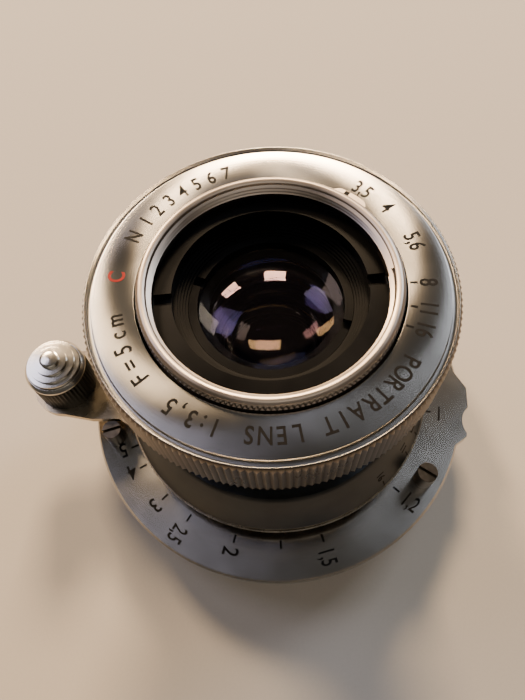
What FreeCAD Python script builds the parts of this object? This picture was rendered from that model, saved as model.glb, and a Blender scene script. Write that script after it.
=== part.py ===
import FreeCAD, Part
import math
import os
import re
import Sketcher

# A 5 cm f/3.5 screw-mount camera lens with a focusing lever, standing on its mount, front up.
# Origin: on the optical axis, in the plane of the mounting flange. +Z points to the front.
# Units are millimetres and degrees. Azimuths are counter-clockwise from +X, seen from the front.
# The model stands as the lens does at its closest focus, with the aperture wide open.

doc = FreeCAD.newDocument("BarrelLens")

# ---------------------------------------------------------------- driving sizes
SIZES = {
    # focusing: a coarse thread turned by the lever, between two stop screws
    "focus_lead": 5.5,
    "focus_sweep": 190,
    "lever_azimuth": 174.7,
    "lever_gap": 0.1,
    # fits and gaps
    "running_gap": 0.05,
    "seat_gap": 0.05,
    "loose_gap": 0.3,
    # mount sleeve: 39 mm screw thread, flange and the stationary half of the focusing thread
    "thread_r": 19.5,
    "thread_depth": 5.2,
    "flange_r": 22.6,
    "flange_thick": 2,
    "sleeve_bore": 16.95,
    "sleeve_r": 18.3,
    "sleeve_top": 8.7,
    # distance scale disc with its infinity catch
    "disc_r": 27.5,
    "disc_thick": 2,
    "disc_edge": 0.25,
    "tab_reach": 28.65,
    "tab_root": 26.5,
    "tab_ramp": 20,
    "tab_lead": 10.3,
    "tab_mid": 3,
    "tab_far": 5.2,
    "tab_end": 11,
    "notch_r": 3.2,
    # screws from the rear, through the flange into the disc
    "disc_screw_circle": 21.05,
    "disc_screw_r": 0.8,
    "disc_head_r": 1.2,
    "disc_head_depth": 0.9,
    "disc_screw_length": 3.4,
    # stop screws
    "stop_circle": 24.8,
    "stop_head_r": 1.36,
    "stop_head_height": 3.5,
    "stop_shank_r": 0.9,
    "stop_slot": 0.45,
    "stop_slot_depth": 0.9,
    # rangefinder coupling ring
    "coupling_depth": 7.5,
    "coupling_height": 4.2,
    "tube_bore": 15.2,
    "key_width": 3,
    "key_height": 1.2,
    "key_reach": 17.9,
    "key_slot_top": 0.2,
    # focusing lever
    "lever_thick": 1,
    "lever_ring_r": 21.6,
    "lever_bore": 18.7,
    "knob_reach": 31,
    "arm_end_r": 5,
    "arm_side": 4.97,
    "arm_root": 19,
    "arm_flare": 2.3,
    "arm_waist": 22.6,
    "arm_step": 26.6,
    "far_step": 23.7,
    "near_half": 5.8,
    "far_half": 8.5,
    "lever_screw_circle": 20.15,
    "lever_screw_r": 0.6,
    "lever_head_r": 1.1,
    "lever_head_depth": 0.6,
    "lever_screw_length": 2.6,
    # depth-of-field cone
    "cone_base_r": 21.4,
    "cone_top_r": 19.1,
    "cone_height": 4.63,
    "bevel_r": 18.6,
    "bevel_height": 0.57,
    "cone_roof": 1.3,
    # neck and name ring
    "neck_r": 17.5,
    "neck_bore": 16.3,
    "spigot_height": 2.1,
    "ledge_bore": 15.2,
    "ledge_thick": 1.4,
    "neck_height": 13.25,
    "collar_thick": 1.55,
    "rim_r": 20.8,
    "rim_wall": 1.55,
    "rim_height": 7.05,
    "face_thick": 2,
    "face_bore": 14.95,
    "groove_in": 19.6,
    "groove_out": 20.35,
    "groove_depth": 0.45,
    "grub_r": 0.8,
    "grub_length": 1.1,
    "grub_rise": 1,
    # lens barrel that carries the glass and the iris
    "barrel_r": 13.5,
    "barrel_bore": 12.3,
    "barrel_seat_r": 9.7,
    "barrel_flange_r": 16.2,
    "barrel_flange": 2,
    "barrel_drop": 2.5,
    "shim_thick": 0.1,
    "clamp_thick": 1.2,
    "clamp_bore": 14.95,
    # aperture ring
    "bead_r": 14.65,
    "bead_height": 1.4,
    "bead_round": 0.45,
    "flag_reach": 15.6,
    "flag_before": 10.9,
    "flag_after": 6,
    "flag_thick": 0.4,
    "filter_r": 13.1,
    "filter_depth": 2.2,
    "skirt_r": 14.6,
    "skirt_depth": 13,
    "aperture_sweep": 74,
    "drive_azimuth": 48.4,
    "drive_screw_r": 0.6,
    "drive_screw_tip": 10.5,
    "drive_slot_half": 0.7,
    # front retaining ring, front cell and its ring
    "front_ring_r": 13,
    "front_ring_in": 11,
    "front_ring_thick": 1.6,
    "front_ring_slot": 1.5,
    "slot_depth": 0.7,
    "cell_r": 12.25,
    "cell_mouth": 10.6,
    "cell_step": 9.5,
    "cell_tube_r": 9.6,
    "glass_ring_lap": 0.15,
    "glass_ring_thick": 1.3,
    "glass_ring_slot": 1.2,
    "glass_ring_turn": 155,
    # glass: vertex heights above the lever's underside, and radii of curvature
    "front_glass_r": 8.6,
    "front_vertex": 23.5,
    "front_thick": 2.6,
    "front_curve": 19,
    "spacer_in": 7,
    "middle_glass_r": 7.6,
    "middle_front_vertex": 19.45,
    "middle_thick": 1.1,
    "middle_front_curve": 32,
    "middle_back_curve": 17,
    "rear_glass_r": 7.2,
    "rear_front": 12.4,
    "cement_vertex": 11.4,
    "cement_curve": 20,
    "cement_gap": 0.02,
    "rear_vertex": 7.9,
    "rear_curve": 21,
    # iris
    "iris_seat": 12.85,
    "iris_floor": 0.5,
    "iris_hole": 7.1,
    "iris_wall_r": 11.3,
    "iris_wall_top": 17.8,
    "leaf_count": 7,
    "leaf_arc_r": 9.1,
    "leaf_half": 1.5,
    "leaf_span": 140,
    "leaf_thick": 0.06,
    "leaf_rise": 0.95,
    "leaf_swing": 39.5,
    "leaf_height": 14.5,
    "stud_r": 0.35,
    "drive_plate": 15.7,
    "drive_plate_thick": 0.5,
    "drive_rim_in": 10.6,
    "drive_rim_top": 17.6,
    "cover_thick": 0.35,
    "cover_in": 9.75,
    # rear cell
    "rear_cell_r": 9.65,
    "rear_cell_flange": 11.2,
    "rear_cell_low": 7,
    "rear_cell_top": 12.7,
    "rear_lip": 6.8,
    "rear_ring_in": 6.4,
    "rear_ring_r": 8.25,
    "rear_ring_low": 7.3,
    "rear_ring_top": 8.85,
    "baffle_low": 5.2,
    "baffle_thick": 0.9,
    "baffle_hole": 8.6,
    # knob, its press button and its catch
    "knob_r": 4.25,
    "knob_height": 5.95,
    "knob_rim": 3.8,
    "knob_bore": 3.75,
    "knob_floor": 1.2,
    "spigot_r": 2.55,
    "stem_r": 1.6,
    "button_low": 6,
    "button_deck": 7.45,
    "step_rise": 0.5,
    "button_r": 3.7,
    "step_two": 3.1,
    "step_three": 2.2,
    "step_four": 1.3,
    "button_top": 9.2,
    "pin_r": 1,
    "catch_r": 3,
    "catch_height": 1.45,
    "catch_gap": 0.15,
    "spring_r": 2.75,
    "spring_wire": 0.18,
    "spring_turns": 3,
}

sheet = doc.addObject("Spreadsheet::Sheet", "Sizes")
for row, (word, size) in enumerate(SIZES.items(), start=1):
    sheet.set("A%d" % row, word)
    sheet.set("B%d" % row, str(size))
    sheet.setAlias("B%d" % row, word)
doc.recompute()

# Heights that moving groups are measured from, at rest
LIFT = "focus_lead * focus_sweep / 360"
DISC_TOP = "flange_thick + disc_thick"
UNIT = DISC_TOP + " + lever_gap + " + LIFT
CARRIAGE = LIFT + " - coupling_depth"
NECK_LOW = "lever_thick + cone_height + bevel_height"
LEDGE_TOP = NECK_LOW + " + spigot_height + loose_gap + ledge_thick"
BARREL_LOW = LEDGE_TOP + " + shim_thick"
FACE = NECK_LOW + " + neck_height + rim_height"
BARREL_TOP = FACE + " - barrel_drop"

FUNCTIONS = ("cos", "sin", "asin", "sqrt", "deg")
pieces = []


def bound(text):
    """Turns 'neck_r + running_gap' into an expression on the sheet's cells."""
    return re.sub(r"[a-z]\w*", lambda m: m[0] if m[0] in FUNCTIONS else "Sizes." + m[0], text)


def number(text):
    """The value that an expression has now."""
    return float(sheet.evalExpression(bound(text)))


def checked(feature, before, grows):
    """Stops when a feature failed, or when a cut took nothing away."""
    doc.recompute()
    volume = feature.Shape.Volume
    if "Invalid" in feature.State or (volume > before) != grows:
        raise RuntimeError("%s did not change its body as meant" % feature.Name)
    return volume


def new_body(label):
    body = doc.addObject("PartDesign::Body", label)
    body.Label = label
    body.AllowCompound = True
    pieces.append(body)
    return body


def origin_plane(body, role):
    return next(item for item in body.Origin.OriginFeatures if item.Role == role)


def new_sketch(body, role, height=None):
    sketch = body.newObject("Sketcher::SketchObject", body.Name + "_sketch")
    sketch.AttachmentSupport = [(origin_plane(body, role), "")]
    sketch.MapMode = "FlatFace"
    if height:
        sketch.setExpression("AttachmentOffset.Base.z", bound(height))
    return sketch


def pin_point(sketch, line, end, across, up):
    """Ties one sketch point to two expressions, measured from the sketch's origin."""
    for kind, text, axis in (("DistanceX", across, -2), ("DistanceY", up, -1)):
        if text == "0":
            sketch.addConstraint(Sketcher.Constraint("PointOnObject", line, end, axis))
            continue
        rule = Sketcher.Constraint(kind, -1, 1, line, end, number(text))
        sketch.setExpression("Constraints[%d]" % sketch.addConstraint(rule), bound(text))


def polygon(sketch, corners):
    """Closed outline through corners, each a pair of expressions."""
    spots = [FreeCAD.Vector(number(x), number(y), 0) for x, y in corners]
    count = len(spots)
    for i in range(count):
        sketch.addGeometry(Part.LineSegment(spots[i], spots[(i + 1) % count]), False)
    for i in range(count):
        sketch.addConstraint(Sketcher.Constraint("Coincident", i, 2, (i + 1) % count, 1))
    for i, (x, y) in enumerate(corners):
        pin_point(sketch, i, 1, x, y)


def circle(sketch, x, y, radius):
    middle = FreeCAD.Vector(number(x), number(y), 0)
    line = sketch.addGeometry(Part.Circle(middle, FreeCAD.Vector(0, 0, 1), number(radius)), False)
    rule = sketch.addConstraint(Sketcher.Constraint("Radius", line, number(radius)))
    sketch.setExpression("Constraints[%d]" % rule, bound(radius))
    pin_point(sketch, line, 3, x, y)


def spin(body, kind, corners, about=None, angle=None):
    """Revolution or Groove of a (radius, height) outline about the lens axis or a parallel one."""
    sketch = new_sketch(body, "XZ_Plane")
    if about:
        corners = [("%s + %s" % (about, r) if r != "0" else about, z) for r, z in corners]
    polygon(sketch, corners)
    axis = "V_Axis"
    if about:
        x = number(about)
        line = Part.LineSegment(FreeCAD.Vector(x, 0, 0), FreeCAD.Vector(x, 1, 0))
        index = sketch.addGeometry(line, True)
        pin_point(sketch, index, 1, about, "0")
        sketch.addConstraint(Sketcher.Constraint("Vertical", index))
        sketch.addConstraint(Sketcher.Constraint("DistanceY", index, 1, index, 2, 1))
        axis = "Axis0"
    before = body.Shape.Volume if body.Tip else 0
    feature = body.newObject("PartDesign::" + kind, body.Name + "_" + kind.lower())
    feature.Profile = sketch
    feature.ReferenceAxis = (sketch, [axis])
    feature.Angle = 360
    if angle:
        feature.Midplane = True
        feature.setExpression("Angle", bound(angle))
    checked(feature, before, kind == "Revolution")
    return feature


def turned(label, corners, datum=None):
    """A lathe-turned piece: one (radius, height) outline spun about the lens axis."""
    body = new_body(label)
    spin(body, "Revolution", corners)
    if datum:
        body.setExpression("Placement.Base.z", bound(datum))
    return body


def ring(label, inner, outer, low, high, datum=None):
    return turned(label, [(inner, low), (outer, low), (outer, high), (inner, high)], datum)


def shaped(body, kind, draw, top, depth):
    """Pad up to a height, or Pocket down from it, of what draw() puts in a level sketch."""
    low = "%s - (%s)" % (top, depth)
    sketch = new_sketch(body, "XY_Plane", top if kind == "Pocket" else low)
    draw(sketch)
    before = body.Shape.Volume if body.Tip else 0
    feature = body.newObject("PartDesign::" + kind, body.Name + "_" + kind.lower())
    feature.Profile = sketch
    feature.Length = number(depth)
    feature.setExpression("Length", bound(depth))
    checked(feature, before, kind == "Pad")
    return feature


def around(body, features, count):
    """Repeats features evenly round the lens axis."""
    pattern = body.newObject("PartDesign::PolarPattern", body.Name + "_pattern")
    pattern.Originals = features
    pattern.Axis = (origin_plane(body, "Z_Axis"), [""])
    pattern.Angle = 360
    pattern.Occurrences = count
    body.Tip = pattern
    doc.recompute()
    return pattern


def bar(x_low, x_high, half):
    """A sketch drawer for a level rectangle, centred on the X axis."""
    low_side = "-(%s)" % half
    corners = [(x_low, low_side), (x_high, low_side), (x_high, half), (x_low, half)]
    return lambda sketch: polygon(sketch, corners)


def slot_across(body, reach, width, top, depth):
    """A screwdriver or pin-spanner slot, cut right across a diameter."""
    return shaped(body, "Pocket", bar("-(%s)" % reach, reach, width + " / 2"), top, depth)


def at_azimuth(body, reach, azimuth, height):
    """Stands a piece at a radius and an azimuth, turned to face outwards."""
    body.setExpression("Placement.Base.x", bound("(%s) * cos((%s) * 1 deg)" % (reach, azimuth)))
    body.setExpression("Placement.Base.y", bound("(%s) * sin((%s) * 1 deg)" % (reach, azimuth)))
    body.setExpression("Placement.Base.z", bound(height))
    body.setExpression("Placement.Rotation.Angle", bound("(%s) * 1 deg" % azimuth))


# ---------------------------------------------------------------- mount sleeve
# Brass sleeve: 39 mm thread, flange, and the stationary focusing thread inside.
sleeve = turned("mount_sleeve", [
    ("sleeve_bore", "-thread_depth"), ("thread_r", "-thread_depth"), ("thread_r", "0"),
    ("flange_r", "0"), ("flange_r", "flange_thick"), ("sleeve_r", "flange_thick"),
    ("sleeve_r", "sleeve_top"), ("sleeve_bore", "sleeve_top")])
slot_across(sleeve, "key_reach + running_gap", "key_width + 2 * running_gap",
            "key_slot_top", "thread_depth + key_slot_top")
sleeve_holes = spin(sleeve, "Groove", [
    ("0", "0"), ("disc_head_r", "0"), ("disc_screw_r", "disc_head_depth"),
    ("disc_screw_r", "flange_thick"), ("0", "flange_thick")], "disc_screw_circle")
around(sleeve, [sleeve_holes], 4)

# ---------------------------------------------------------------- distance scale disc
# Flat disc on the flange. Its edge swells into the infinity catch: two horns and a notch.
CATCH_AZIMUTH = "lever_azimuth - focus_sweep"
NEAR_STOP = "asin((near_half + stop_head_r + seat_gap) / stop_circle) / 1 deg"
FAR_STOP = "asin((far_half + stop_head_r + seat_gap) / stop_circle) / 1 deg"
NEAR_AZIMUTH = "lever_azimuth + " + NEAR_STOP
FAR_AZIMUTH = "lever_azimuth - focus_sweep - " + FAR_STOP


def polar(reach, angle):
    return ("(%s) * cos((%s) * 1 deg)" % (reach, angle), "(%s) * sin((%s) * 1 deg)" % (reach, angle))


disc = turned("distance_scale_disc", [
    ("sleeve_r + seat_gap", "0"), ("disc_r - disc_edge", "0"), ("disc_r", "disc_edge"),
    ("disc_r", "disc_thick - disc_edge"), ("disc_r - disc_edge", "disc_thick"),
    ("sleeve_r + seat_gap", "disc_thick")], "flange_thick")
shaped(disc, "Pad", lambda sketch: polygon(sketch, [
    polar("tab_root", "tab_ramp"), polar("tab_reach", "tab_lead"), polar("tab_reach", "tab_mid"),
    polar("tab_reach", "-tab_far"), polar("tab_root", "-tab_end")]), "disc_thick", "disc_thick")
shaped(disc, "Pocket", lambda sketch: circle(sketch, "knob_reach", "0", "notch_r"),
       "disc_thick", "disc_thick")
DISC_HOLE = "disc_screw_length - flange_thick + seat_gap"
disc_holes = spin(disc, "Groove", [
    ("0", "0"), ("disc_screw_r", "0"), ("disc_screw_r", DISC_HOLE), ("0", DISC_HOLE)],
    "disc_screw_circle")
around(disc, [disc_holes], 4)
for turn in (NEAR_AZIMUTH, FAR_AZIMUTH):
    spot = polar("stop_circle", "%s - (%s)" % (turn, CATCH_AZIMUTH))
    shaped(disc, "Pocket", lambda sketch: circle(sketch, spot[0], spot[1], "stop_shank_r"),
           "disc_thick", "disc_thick")
disc.setExpression("Placement.Rotation.Angle", bound("(%s) * 1 deg" % CATCH_AZIMUTH))

# Screws that hold the disc to the flange, with heads countersunk in the flange's seat
disc_screws = new_body("disc_screws")
screw = spin(disc_screws, "Revolution", [
    ("0", "seat_gap"), ("disc_head_r - running_gap", "seat_gap"),
    ("disc_screw_r - running_gap", "disc_head_depth + seat_gap"),
    ("disc_screw_r - running_gap", "disc_screw_length"), ("0", "disc_screw_length")],
    "disc_screw_circle")
cut = shaped(disc_screws, "Pocket", bar("disc_screw_circle - disc_head_r",
             "disc_screw_circle + disc_head_r", "stop_slot / 2"), "seat_gap + stop_slot", "stop_slot")
around(disc_screws, [screw, cut], 4)
for holed in (sleeve, disc_screws):
    holed.setExpression("Placement.Rotation.Angle", bound("(%s) * 1 deg" % CATCH_AZIMUTH))

# Tall slotted screws that stop the lever at each end of its travel
for label, turn in (("near_stop_screw", NEAR_AZIMUTH), ("infinity_stop_screw", FAR_AZIMUTH)):
    stop = turned(label, [
        ("0", "seat_gap - disc_thick"), ("stop_shank_r - running_gap", "seat_gap - disc_thick"),
        ("stop_shank_r - running_gap", "0"), ("stop_head_r", "0"),
        ("stop_head_r", "stop_head_height - seat_gap"),
        ("stop_head_r - seat_gap", "stop_head_height"), ("0", "stop_head_height")])
    slot_across(stop, "stop_head_r + seat_gap", "stop_slot", "stop_head_height", "stop_slot_depth")
    at_azimuth(stop, "stop_circle", turn, DISC_TOP)

# ---------------------------------------------------------------- rangefinder coupling ring
# Slides without turning: two keys run in the sleeve's slots. Its rear face moves the camera's cam.
coupling = ring("rangefinder_ring", "tube_bore", "sleeve_bore - running_gap", "0",
                "coupling_height", CARRIAGE)
for side in ("", "-"):
    shaped(coupling, "Pad", bar(side + "(tube_bore + running_gap)", side + "key_reach",
           "key_width / 2"), "coupling_height", "key_height")
coupling.setExpression("Placement.Rotation.Angle", bound("(%s) * 1 deg" % CATCH_AZIMUTH))

# ---------------------------------------------------------------- focusing helicoid and cone
# The turning half of the focusing thread, with a spigot that enters the neck.
HELICOID_LOW = CARRIAGE + " + coupling_height + seat_gap - (%s)" % UNIT
turned("focus_helicoid", [
    ("tube_bore", HELICOID_LOW), ("sleeve_bore - running_gap", HELICOID_LOW),
    ("sleeve_bore - running_gap", NECK_LOW), ("neck_bore - running_gap", NECK_LOW),
    ("neck_bore - running_gap", NECK_LOW + " + spigot_height"),
    ("tube_bore", NECK_LOW + " + spigot_height")], UNIT)

# The cone carries the depth-of-field scale and covers the sleeve.
cone = turned("depth_scale_cone", [
    ("lever_bore", "lever_thick"), ("cone_base_r", "lever_thick"),
    ("cone_top_r", "lever_thick + cone_height"), ("bevel_r", NECK_LOW),
    ("sleeve_bore", NECK_LOW), ("sleeve_bore", NECK_LOW + " - cone_roof"),
    ("lever_bore", NECK_LOW + " - cone_roof")], UNIT)
cone_holes = spin(cone, "Groove", [
    ("0", "lever_thick"), ("lever_screw_r", "lever_thick"),
    ("lever_screw_r", "lever_screw_length + seat_gap"),
    ("0", "lever_screw_length + seat_gap")], "lever_screw_circle")
around(cone, [cone_holes], 3)

# ---------------------------------------------------------------- focusing lever
# Ring and arm in one plate. Square shoulders each side of the arm meet the stop screws.
lever = new_body("focus_lever")
shaped(lever, "Pad", lambda sketch: circle(sketch, "0", "0", "lever_ring_r"),
       "lever_thick", "lever_thick")
shaped(lever, "Pad", lambda sketch: polygon(sketch, [
    ("arm_root", "near_half + arm_flare"), ("arm_root", "-far_half"),
    ("far_step", "-far_half"), ("arm_step", "-near_half"),
    ("knob_reach", "-arm_side"), ("knob_reach", "arm_side"),
    ("arm_step", "near_half"), ("arm_waist", "near_half")]), "lever_thick", "lever_thick")
shaped(lever, "Pad", lambda sketch: circle(sketch, "knob_reach", "0", "arm_end_r"),
       "lever_thick", "lever_thick")
shaped(lever, "Pocket", lambda sketch: circle(sketch, "0", "0", "lever_bore"),
       "lever_thick", "lever_thick")
shaped(lever, "Pocket", lambda sketch: circle(sketch, "knob_reach", "0", "spigot_r + seat_gap"),
       "lever_thick", "lever_thick")
lever_holes = spin(lever, "Groove", [
    ("0", "0"), ("lever_head_r", "0"), ("lever_screw_r", "lever_head_depth"),
    ("lever_screw_r", "lever_thick"), ("0", "lever_thick")], "lever_screw_circle")
around(lever, [lever_holes], 3)
lever.setExpression("Placement.Base.z", bound(UNIT))

# Countersunk screws from below, through the lever ring into the cone
lever_screws = new_body("lever_screws")
screw = spin(lever_screws, "Revolution", [
    ("0", "seat_gap"), ("lever_head_r - running_gap", "seat_gap"),
    ("lever_screw_r - running_gap", "lever_head_depth + seat_gap"),
    ("lever_screw_r - running_gap", "lever_screw_length"), ("0", "lever_screw_length")],
    "lever_screw_circle")
around(lever_screws, [screw], 3)
lever_screws.setExpression("Placement.Base.z", bound(UNIT))
for turning in (cone, lever, lever_screws):
    turning.setExpression("Placement.Rotation.Angle", bound("lever_azimuth * 1 deg"))

# ---------------------------------------------------------------- knob and infinity lock
# Knurled knob riveted into the arm: a cup that guides the press button.
knob = turned("knob_collar", [
    ("stem_r + seat_gap", "seat_gap"), ("spigot_r", "seat_gap"), ("spigot_r", "lever_thick"),
    ("knob_r", "lever_thick"), ("knob_r", "lever_thick + knob_height - step_rise"),
    ("knob_rim", "lever_thick + knob_height"), ("knob_bore", "lever_thick + knob_height"),
    ("knob_bore", "lever_thick + knob_floor"), ("stem_r + seat_gap", "lever_thick + knob_floor")])

# Stepped press button and, screwed into it, the stem with the wide catch below the arm
button = turned("lock_button", [
    ("pin_r + seat_gap", "button_low"), ("button_r", "button_low"), ("button_r", "button_deck"),
    ("step_two", "button_deck"), ("step_two", "button_deck + step_rise"),
    ("step_three", "button_deck + step_rise"), ("step_three", "button_deck + 2 * step_rise"),
    ("step_four", "button_deck + 2 * step_rise"), ("step_four", "button_top"),
    ("0", "button_top"), ("0", "button_deck"), ("pin_r + seat_gap", "button_deck")])
plunger = turned("lock_plunger", [
    ("0", "-catch_gap - catch_height"), ("catch_r", "-catch_gap - catch_height"),
    ("catch_r", "-catch_gap"), ("stem_r", "-catch_gap"), ("stem_r", "button_low - seat_gap"),
    ("pin_r", "button_low - seat_gap"), ("pin_r", "button_deck - seat_gap"),
    ("0", "button_deck - seat_gap")])
for standing in (knob, button, plunger):
    at_azimuth(standing, "knob_reach", "lever_azimuth", UNIT)

# Compression spring between the knob's floor and the button
wire = number("spring_wire")
spring_low = number("lever_thick + knob_floor + seat_gap")
spring_height = number("button_low - seat_gap") - spring_low - 2 * wire
coil_r = number("spring_r")
path = Part.makeHelix(spring_height / number("spring_turns"), spring_height, coil_r)
profile = Part.Wire(Part.makeCircle(wire, FreeCAD.Vector(coil_r, 0, 0), FreeCAD.Vector(0, 1, 0)))
spring = doc.addObject("Part::Feature", "lock_spring")
spring.Label = "lock_spring"
spring.Shape = Part.Wire(path.Edges).makePipeShell([profile], True, True)
turn = math.radians(number("lever_azimuth"))
spring.Placement = FreeCAD.Placement(
    FreeCAD.Vector(number("knob_reach") * math.cos(turn), number("knob_reach") * math.sin(turn),
                   number(UNIT) + spring_low + wire), FreeCAD.Rotation())
pieces.append(spring)

# ---------------------------------------------------------------- neck and name ring
# Plain dark neck with an inner ledge for the lens barrel and an outer collar for the name ring.
NECK_TOP = NECK_LOW + " + neck_height + collar_thick"
COLLAR_LOW = NECK_LOW + " + neck_height"
turned("barrel_neck", [
    ("neck_bore", NECK_LOW), ("neck_r", NECK_LOW), ("neck_r", COLLAR_LOW),
    ("rim_r - rim_wall - seat_gap", COLLAR_LOW), ("rim_r - rim_wall - seat_gap", NECK_TOP),
    ("neck_bore", NECK_TOP), ("neck_bore", LEDGE_TOP), ("ledge_bore", LEDGE_TOP),
    ("ledge_bore", LEDGE_TOP + " - ledge_thick"), ("neck_bore", LEDGE_TOP + " - ledge_thick")], UNIT)
neck = pieces[-1]

# Two grub screws, one each side, that pin the neck to the helicoid's spigot
GRUB_HEIGHT = NECK_LOW + " + grub_rise"


def radial_hole(body, kind, radius, inner, outer, height):
    """A round boss or hole along +X, between two radii, at a height."""
    sketch = body.newObject("Sketcher::SketchObject", body.Name + "_sketch")
    sketch.AttachmentSupport = [(origin_plane(body, "YZ_Plane"), "")]
    sketch.MapMode = "FlatFace"
    sketch.setExpression("AttachmentOffset.Base.z", bound(outer if kind == "Pocket" else inner))
    circle(sketch, "0", height, radius)
    before = body.Shape.Volume if body.Tip else 0
    feature = body.newObject("PartDesign::" + kind, body.Name + "_" + kind.lower())
    feature.Profile = sketch
    feature.Length = number("%s - (%s)" % (outer, inner))
    feature.setExpression("Length", bound("%s - (%s)" % (outer, inner)))
    checked(feature, before, kind == "Pad")
    return feature


neck_holes = radial_hole(neck, "Pocket", "grub_r", "neck_bore - seat_gap", "neck_r + seat_gap",
                         GRUB_HEIGHT)
around(neck, [neck_holes], 2)
grubs = new_body("neck_grub_screws")
grub = radial_hole(grubs, "Pad", "grub_r - running_gap", "neck_r - seat_gap - grub_length",
                   "neck_r - seat_gap", GRUB_HEIGHT)
around(grubs, [grub], 2)
grubs.setExpression("Placement.Base.z", bound(UNIT))

# Name ring: a flat engraved face with a turned groove, over a knurled skirt.
turned("name_ring", [
    ("rim_r - rim_wall", COLLAR_LOW), ("rim_r", COLLAR_LOW), ("rim_r", FACE),
    ("groove_out", FACE), ("groove_in", FACE + " - groove_depth"), ("groove_in", FACE),
    ("face_bore", FACE), ("face_bore", FACE + " - face_thick"),
    ("rim_r - rim_wall", FACE + " - face_thick")], UNIT)

# ---------------------------------------------------------------- lens barrel
# Inner barrel: its flange sits on a shim on the neck's ledge, under a clamp ring.
FLANGE_TOP = BARREL_LOW + " + barrel_flange"
barrel = turned("lens_barrel", [
    ("barrel_seat_r", BARREL_LOW), ("barrel_flange_r", BARREL_LOW),
    ("barrel_flange_r", FLANGE_TOP), ("barrel_r", FLANGE_TOP), ("barrel_r", BARREL_TOP),
    ("barrel_bore", BARREL_TOP), ("barrel_bore", "iris_seat - seat_gap"),
    ("barrel_seat_r", "iris_seat - seat_gap")], UNIT)
ring("focus_shim", "ledge_bore", "barrel_flange_r", LEDGE_TOP, BARREL_LOW, UNIT)
ring("barrel_clamp_ring", "clamp_bore", "barrel_flange_r", FLANGE_TOP,
     FLANGE_TOP + " + clamp_thick", UNIT)

# ---------------------------------------------------------------- aperture ring
# Turns on the lens barrel. The thread in its mouth takes a filter, and a screw drives the iris.
BEAD_TOP = FACE + " + bead_height"
MOUTH_LOW = BEAD_TOP + " - filter_depth"
DRIVE_HEIGHT = "(drive_plate + drive_plate_thick + drive_rim_top) / 2"
aperture = turned("aperture_ring", [
    ("barrel_r + running_gap", FACE + " - skirt_depth"), ("skirt_r", FACE + " - skirt_depth"),
    ("skirt_r", FACE + " + seat_gap"), ("bead_r", FACE + " + seat_gap"),
    ("bead_r", BEAD_TOP + " - bead_round"), ("bead_r - bead_round", BEAD_TOP),
    ("filter_r + bead_round", BEAD_TOP), ("filter_r", BEAD_TOP + " - bead_round"),
    ("filter_r", MOUTH_LOW), ("barrel_r + running_gap", MOUTH_LOW)], UNIT)
radial_hole(aperture, "Pocket", "drive_screw_r", "barrel_r", "skirt_r + seat_gap", DRIVE_HEIGHT)
# The index flag lies just over the name ring's face, beside the aperture numbers.
shaped(aperture, "Pad", lambda sketch: polygon(sketch, [
    polar("barrel_r + running_gap", "-flag_before"), polar("flag_reach", "-flag_before"),
    polar("flag_reach", "(flag_after - flag_before) / 2"), polar("flag_reach", "flag_after"),
    polar("barrel_r + running_gap", "flag_after")]), FACE + " + seat_gap + flag_thick", "flag_thick")
drive_screw = new_body("aperture_drive_screw")
radial_hole(drive_screw, "Pad", "drive_screw_r - running_gap", "drive_screw_tip",
            "skirt_r - seat_gap", DRIVE_HEIGHT)
drive_screw.setExpression("Placement.Base.z", bound(UNIT))
for driven in (aperture, drive_screw):
    driven.setExpression("Placement.Rotation.Angle", bound("drive_azimuth * 1 deg"))

# The barrel and the iris case have an arc slot each, as long as the screw's travel.
SLOT_SWEEP = "aperture_sweep + 360 * drive_slot_half / (3.1416 * barrel_r)"
SLOT_LOW = DRIVE_HEIGHT + " - drive_slot_half"
SLOT_HIGH = DRIVE_HEIGHT + " + drive_slot_half"
spin(barrel, "Groove", [
    ("barrel_bore - seat_gap", SLOT_LOW), ("barrel_r + seat_gap", SLOT_LOW),
    ("barrel_r + seat_gap", SLOT_HIGH), ("barrel_bore - seat_gap", SLOT_HIGH)],
    angle=SLOT_SWEEP)

# ---------------------------------------------------------------- iris
# Case with a floor that the leaves pivot on, a drive ring with cam slots, and a cover ring.
IRIS_FLOOR_TOP = "iris_seat + iris_floor"
case = turned("iris_case", [
    ("iris_hole", "iris_seat"), ("cell_r", "iris_seat"), ("cell_r", "iris_wall_top"),
    ("iris_wall_r", "iris_wall_top"), ("iris_wall_r", IRIS_FLOOR_TOP),
    ("iris_hole", IRIS_FLOOR_TOP)], UNIT)
spin(case, "Groove", [
    ("iris_wall_r - seat_gap", SLOT_LOW), ("cell_r + seat_gap", SLOT_LOW),
    ("cell_r + seat_gap", SLOT_HIGH), ("iris_wall_r - seat_gap", SLOT_HIGH)],
    angle=SLOT_SWEEP)
pivot_holes = shaped(case, "Pocket", lambda sketch: circle(
    sketch, *polar("leaf_arc_r", "aperture_sweep / 2 - drive_azimuth"),
    "stud_r + running_gap / 2"), IRIS_FLOOR_TOP, "iris_floor")
around(case, [pivot_holes], int(number("leaf_count")))
for slotted in (barrel, case):
    slotted.setExpression("Placement.Rotation.Angle",
                          bound("(drive_azimuth - aperture_sweep / 2) * 1 deg"))
ring("iris_cover_ring", "cover_in", "cell_r", "iris_wall_top + seat_gap",
     "iris_wall_top + seat_gap + cover_thick", UNIT)

# Leaves: thin arcs, each tilted so that its pivot end is low and its driven end is high.
# That way every leaf passes over the next one and under the last.
UP = FreeCAD.Vector(0, 0, 1)
arc_r = number("leaf_arc_r")
half = number("leaf_half")
span = number("leaf_span")
leaf_z = number("leaf_height")
pivot = FreeCAD.Vector(arc_r, 0, 0)


def spot_on(radius, angle):
    """A level point at a radius and an azimuth."""
    return FreeCAD.Vector(radius * math.cos(math.radians(angle)),
                          radius * math.sin(math.radians(angle)), 0)


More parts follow.
